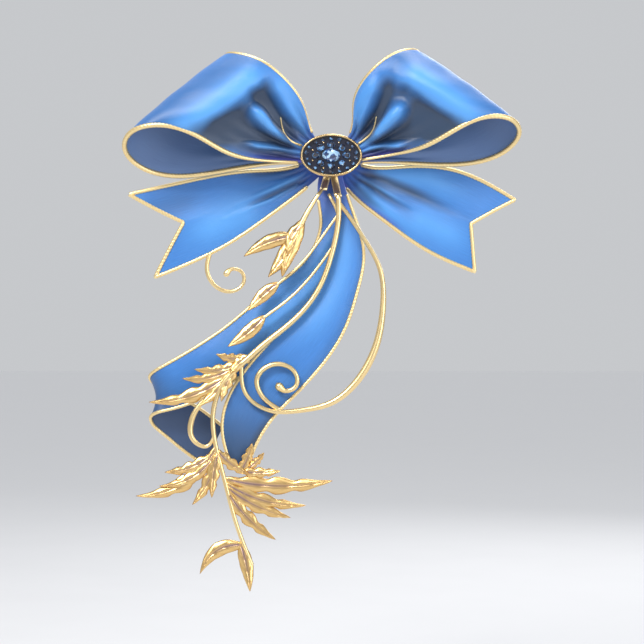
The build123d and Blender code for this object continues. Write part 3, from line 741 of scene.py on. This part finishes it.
def make_filigree():
    f = "filigree"
    wire("filigree_main_stem_wire", FILIGREE,
         [(3.1, -16.5), (3.3, -26), (0.5, -42), (-6, -59), (-17, -72.3), (-29, -82), (-38, -90), (-46, -98),
          (-51, -110), (-50.5, -124), (-46.5, -140), (-41, -160), (-34, -178)],
         lambda t: 1.25 + 0.35 * bump(t, 0.45, 0.12) - 0.35 * t, f, ["filigree_main_stem"], lug=True)
    wire("filigree_c_stem_wire", FILIGREE,
         [(3.4, -20), (8.5, -27), (15, -37), (21.2, -49), (22.6, -66), (19.5, -83), (11.8, -97.5),
          (0, -107.6), (-14, -111), (-28, -110.6), (-37.5, -103), (-39, -91.4)],
         lambda t: 0.9 + 0.75 * bump(t, 0.5, 0.22), f, ["filigree_c_stem"])
    wire("filigree_spiral_wire", FILIGREE,
         [(-22, -110.8), (-30.5, -104), (-32.2, -97), (-27.5, -91.8), (-20.5, -91.2), (-15.5, -95),
          (-15.6, -100.6), (-20, -102.4), (-23.8, -99)],
         lambda t: 1.0 + 0.2 * bump(t, 0.4, 0.2) + 0.95 * bump(t, 0.965, 0.04), f, ["filigree_spiral"])
    wire("leaf_drop_upper_wire", FILIGREE, [(3.2, -25), (-5.2, -37), (-14, -48), (-24, -56.4)],
         lambda t: 0.6 + 0.1 * t, f, ["leaf_drop_upper_stem"])
    wire("leaf_drop_lower_wire", FILIGREE, [(1, -39), (-4.6, -47), (-18, -62), (-30, -71)],
         lambda t: 0.6 + 0.1 * t, f, ["leaf_drop_lower_stem"])
    spray("leaf_drop_upper_leaf", FILIGREE, [((-23, -55.4), (-36.2, -67.6), 5.4, 0.6)], f,
          ["leaf_drop_upper"], cut=0.04)
    spray("leaf_drop_lower_leaf", FILIGREE, [((-29, -70), (-45, -83.2), 5.6, -0.8)], f,
          ["leaf_drop_lower"], cut=0.04)
    spray("filigree_upper_acanthus", FILIGREE,
          [((-36, -88), (-50, -86.4), 4.6, -1.3), ((-39, -90), (-59.4, -93), 5.0, -2),
           ((-42, -92), (-64.6, -97), 5.0, -2.2), ((-34, -87), (-44, -95), 5.0, 1.2)], f,
          ["filigree_upper_leaves"])
    spray("filigree_long_acanthus", FILIGREE, [((-44, -95), (-79, -107.2), 6.2, -3.4)], f,
          ["filigree_long_leaf"])
    spray("filigree_down_acanthus", FILIGREE,
          [((-43, -93), (-57.6, -109), 5.0, -1.4), ((-41, -92), (-47.6, -107), 5.2, 1.2)], f,
          ["filigree_down_leaves"])
    wire("filigree_loop_leaf_wire", FILIGREE,
         [(-48, -101), (-57.5, -109), (-61, -117), (-59.5, -124), (-54, -126.4), (-50.8, -122)],
         lambda t: 0.75 + 0.5 * bump(t, 0.5, 0.25), f, ["filigree_loop_leaf"])
    spray("filigree_left_acanthus", FILIGREE,
          [((-50, -127), (-84.4, -147.6), 6.6, -6.0), ((-52, -130), (-72, -137.4), 5.0, -2),
           ((-51, -131), (-74.4, -143.4), 5.0, -3.4), ((-50, -130), (-60, -151.4), 5.4, -2),
           ((-49, -129), (-51.6, -148.4), 5.0, 0.6)], f, ["filigree_left_spray"])
    spray("filigree_star_acanthus", FILIGREE,
          [((-49.5, -128), (-35.4, -138.4), 5.0, 1.2), ((-39.4, -138), (-34.2, -125), 4.8, 0.4),
           ((-40, -137), (-22, -137), 4.6, 0.8), ((-36, -136), (-29, -129), 3.4, 0.4)], f,
          ["filigree_star_calyx"])
    spray("filigree_right_acanthus", FILIGREE,
          [((-46.2, -140.5), (0.6, -141.2), 7.2, 2.6), ((-45.4, -142.5), (-11, -151.8), 5.8, 2.8),
           ((-45.2, -144), (-17.6, -157), 5.8, 1.8), ((-44.8, -146), (-24, -166.4), 5.8, 1.9)], f,
          ["filigree_right_spray"])
    spray("filigree_hook_acanthus", FILIGREE,
          [((-37, -169), (-56.6, -181), 6.0, 4.6), ((-39.4, -168), (-35, -188.6), 5.4, -0.8)], f,
          ["filigree_tail_hook"], cut=0.05)


def make_bud():
    wire("bud_stem_wire", BUD, [(-3.4, -13.6), (-7, -19), (-11.4, -26.5), (-16, -36)],
         lambda t: 0.7 + 0.8 * t, "bud", ["bud_stem"], lug=True)
    spray("bud_petals", BUD,
          [((-15, -35), (-38, -44), 6.0, 2), ((-12.4, -28), (-21.4, -53), 7.0, 1),
           ((-14, -32), (-27.4, -53), 6.4, -0.8), ((-12, -29), (-19, -44), 5.4, 2.0)],
          "bud", ["bud_flower"], thick=1.2, curl=1.0, cut=0.05)


# ---- brooch ----------------------------------------------------------------------------------
BED_DEPTH = 21.7        # the bed's front face
BROOCH_RX, BROOCH_RZ = 13.5, 9.35
BEZEL_FRONT = 23.25     # where the bezel's beads sit


def around(count, rx, rz, start=0.0):
    return [(rx * math.cos(start + 2 * math.pi * i / count), rz * math.sin(start + 2 * math.pi * i / count))
            for i in range(count)]


def brilliant(x, z, rx, rz, height, back, sides=8):
    """A brilliant-cut stone: girdle, main and star facets, flat table."""
    rings = [(1.0, 0.0, 0.0), (1.0, 0.36, 0.0), (0.80, 0.72, 0.5), (0.55, 1.0, 0.0)]
    verts = []
    for size, up, turn in rings:
        for i in range(sides):
            a = 2 * math.pi * (i + turn) / sides
            verts.append((x + rx * size * math.cos(a), -(back + up * height), z + rz * size * math.sin(a)))
    faces = []
    for i in range(sides):
        j = (i + 1) % sides
        faces.append((i, j, sides + j, sides + i))
        faces.append((sides + i, sides + j, 2 * sides + i))
        faces.append((sides + j, 2 * sides + j, 2 * sides + i))
        faces.append((2 * sides + i, 2 * sides + j, 3 * sides + j))
        faces.append((2 * sides + i, 3 * sides + j, 3 * sides + i))
    faces.append(tuple(range(sides))[::-1])
    faces.append(tuple(3 * sides + i for i in range(sides)))
    return np.array(verts), faces


def stones(name, places, rx, rz, height, material, nodes, sides=8):
    verts, faces = joined([brilliant(x, z, rx, rz, height, BED_DEPTH - 0.05, sides) for x, z in places])
    return finish_mesh(name, verts, faces, "knot", [material], nodes, smooth=False)


def ring(profile, count=160):
    """A closed ring swept round the oval from a profile of (inset from the rim, depth in front)."""
    verts, n = [], len(profile)
    for i in range(count):
        a = 2 * math.pi * i / count
        for inset, y in profile:
            verts.append(((BROOCH_RX - inset) * math.cos(a), -y, (BROOCH_RZ - inset) * math.sin(a)))
    faces = []
    for i in range(count):
        for j in range(n):
            a, b = i * n + j, i * n + (j + 1) % n
            c, d = ((i + 1) % count) * n + (j + 1) % n, ((i + 1) % count) * n + j
            faces.append((a, b, c, d))
    return np.array(verts), faces


def bead(x, y, z, r, rings=6, sides=8):
    """A small ball."""
    verts = [(x, y - r, z)]
    for i in range(1, rings):
        b = math.pi * i / rings
        for j in range(sides):
            a = 2 * math.pi * j / sides
            verts.append((x + r * math.sin(b) * math.cos(a), y - r * math.cos(b),
                          z + r * math.sin(b) * math.sin(a)))
    verts.append((x, y + r, z))
    faces = [(0, 1 + (j + 1) % sides, 1 + j) for j in range(sides)]
    for i in range(rings - 2):
        for j in range(sides):
            a, b = 1 + i * sides + j, 1 + i * sides + (j + 1) % sides
            faces.append((a, b, b + sides, a + sides))
    last = len(verts) - 1
    faces += [(last, last - sides + j, last - sides + (j + 1) % sides) for j in range(sides)]
    return np.array(verts), faces


def make_brooch():
    """The beaded bezel, the three sizes of stone and the prongs between them."""
    rim = [(0.15, 20.2), (0.0, 20.5), (0.0, 22.5), (0.12, 23.0), (0.40, 23.35), (0.70, 23.4), (0.95, 23.2),
           (1.10, 22.8), (1.10, 20.3), (0.9, 20.2)]
    beads = [bead(x, -BEZEL_FRONT, z, 0.27) for x, z in around(84, BROOCH_RX - 0.55, BROOCH_RZ - 0.55)]
    verts, faces = joined([ring(rim)] + beads)
    finish_mesh("brooch_bezel_beaded", verts, faces, "knot", [BEZEL], ["brooch_bezel"])
    # the centre stone takes the paler jewel, its painted highlight
    stones("brooch_centre_stone", [(0, 0)], 3.9, 3.0, 2.6, JEWEL_PAINTED_HIGHLIGHT, ["centre_stone"], 16)
    stones("brooch_halo_stones", around(8, 6.55, 4.7), 1.75, 1.5, 1.9, JEWEL,
           ["halo_stones"], 10)
    stones("brooch_rim_stones", around(18, 10.9, 7.3, math.pi / 18), 0.95, 0.86, 1.3, JEWEL,
           ["rim_stones"])
    prongs = around(8, 8.75, 6.0, math.pi / 8)
    grains = [bead(x, -BED_DEPTH - 0.9, z, 0.42) for x, z in prongs]
    grains += [tube([(x, -BED_DEPTH + 0.1, z), (x, -BED_DEPTH - 0.5, z), (x, -BED_DEPTH - 1.0, z)], 0.3,
                    step=0.2, sides=8) for x, z in prongs]
    verts, faces = joined(grains)
    finish_mesh("brooch_prongs", verts, faces, "knot", [BEZEL], ["stone_prongs"])


BAND_HALF_W = 6.0
BAND_MIDDLE = 0.85      # the height of the band's middle
BAND_RY, BAND_RZ = 3.65, 7.95
BAND_PLEAT = 2.4        # from pleat to pleat


def make_band(nu=120, nv=61):
    """The knot band: a ribbon wrapped round the gather, its pleats running round with it."""
    a = np.linspace(0, 2 * np.pi, nu)
    x = np.linspace(-BAND_HALF_W, BAND_HALF_W, nv)
    grid = np.zeros((nu, nv, 3))
    for i, angle in enumerate(a):
        c, s = math.cos(angle), math.sin(angle)
        k = (abs(c) ** 5 + abs(s) ** 5) ** (-1 / 5)
        for j, along in enumerate(x):
            pleat = 0.28 * math.cos(2 * math.pi * along / BAND_PLEAT + 0.5 * math.sin(2 * angle))
            pleat -= 0.35 * (abs(along) / BAND_HALF_W) ** 6
            grid[i, j] = (along, -PIN_DEPTH - (BAND_RY + pleat) * k * c,
                          BAND_MIDDLE + (BAND_RZ + pleat) * k * s)
    # painted shade in the pleats' valleys, and painted shade tinted purple over the whole band
    dark = np.tile(0.5 - 0.5 * np.cos(2 * np.pi * x / BAND_PLEAT), (nu, 1)) * 0.6
    band = cloth("knot_band_satin", grid, "knot", [SATIN, INSIDE], ["knot_band"],
                 np.full((nu, nv), 0.8), dark, np.zeros((nu, nv)), 0.5)


PAD_T = 1.6
PAD_RX, PAD_RZ = 13.3, 6.8


def make_backing(nu=96, nv=12):
    """The foam pad, a little squeezed, with pores round its side."""
    verts = []
    for j in range(nv):
        b = j / (nv - 1)
        y = -PAD_T * b
        for i in range(nu):
            a = 2 * math.pi * i / nu
            out = 0.16 * math.sin(math.pi * b) + 0.05 * math.sin(23 * a + 5 * b) * math.sin(math.pi * b)
            inset = 0.18 * (1 - math.sin(math.pi * b) ** 0.25)
            verts.append(((PAD_RX + out - inset) * math.cos(a), y, (PAD_RZ + out - inset) * math.sin(a)))
    faces = []
    for j in range(nv - 1):
        for i in range(nu):
            p, q = j * nu + i, j * nu + (i + 1) % nu
            faces.append((p, p + nu, q + nu, q))
    faces.append(tuple(range(nu)))
    faces.append(tuple((nv - 1) * nu + i for i in range(nu))[::-1])
    pad = finish_mesh("foam_pad_soft", np.array(verts), faces, "knot", [FOAM], ["adhesive_pad"])


make_loops()
make_tails()
make_streamers()
make_filigree()
make_bud()
make_brooch()
make_band()
make_backing()

for node, material in (("backing_card", CARD), ("centre_rivet", STEEL), ("binding_staple", STEEL),
                       ("brooch_posts", STEEL), ("brooch_backplate", BEZEL), ("brooch_bed", ENAMEL)):
    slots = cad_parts[node].data.materials
    for i in range(len(slots)):
        slots[i] = material
    if not len(slots):
        slots.append(material)

# ---- stage, lights, camera -------------------------------------------------------------------
FLOOR_HALF, FLOOR_Z = 6, -0.26  # metres
AIR = (0.86, 0.88, 0.91)

floor_mesh = bpy.data.meshes.new("floor")
corners = [(x * FLOOR_HALF, y * FLOOR_HALF, FLOOR_Z) for x, y in ((-1, -1), (1, -1), (1, 1), (-1, 1))]
floor_mesh.from_pydata(corners, [], [(0, 1, 2, 3)])
floor = bpy.data.objects.new("floor", floor_mesh)
bpy.context.scene.collection.objects.link(floor)
floor_mesh.materials.append(plain("pale_floor", (0.46, 0.46, 0.47), (0.44, 0.44, 0.45), 0.8, 20.0, 0.05,
                                  Emission_Color=(*AIR, 1), Emission_Strength=0.30))

world = bpy.data.worlds.new("studio")
bpy.context.scene.world = world
world.use_nodes = True
world.node_tree.nodes["Background"].inputs["Color"].default_value = (*AIR, 1)
world.node_tree.nodes["Background"].inputs["Strength"].default_value = 0.66


def lamp(name, place, aim, power, size, colour=(1, 1, 1)):
    """A square area light, in metres and watts."""
    light = bpy.data.lights.new(name, "AREA")
    light.energy, light.size, light.color = power, size, colour
    obj = bpy.data.objects.new(name, light)
    obj.location = place
    obj.rotation_mode = "QUATERNION"
    obj.rotation_quaternion = (Vector(aim) - Vector(place)).to_track_quat("-Z", "Y")
    bpy.context.scene.collection.objects.link(obj)


lamp("key", (-0.35, -0.65, 0.55), (0, 0, -0.03), 7.0, 0.30, (1.0, 0.98, 0.95))
lamp("fill", (0.60, -0.60, 0.10), (0, 0, -0.05), 2.5, 0.50, (0.95, 0.97, 1.0))
lamp("top", (0.10, 0.10, 0.70), (0, 0, -0.05), 3.0, 0.35)
lamp("rear", (0.30, 0.70, 0.30), (0, 0, -0.05), 2.5, 0.50)

camera = bpy.data.cameras.new("camera")
camera.lens = 100
view = bpy.data.objects.new("camera", camera)
view.location = (-0.004, -0.80, -0.0725)
view.rotation_euler = (math.pi / 2, 0, 0)
bpy.context.scene.collection.objects.link(view)
bpy.context.scene.camera = view
bpy.context.scene.view_settings.view_transform = "Standard"
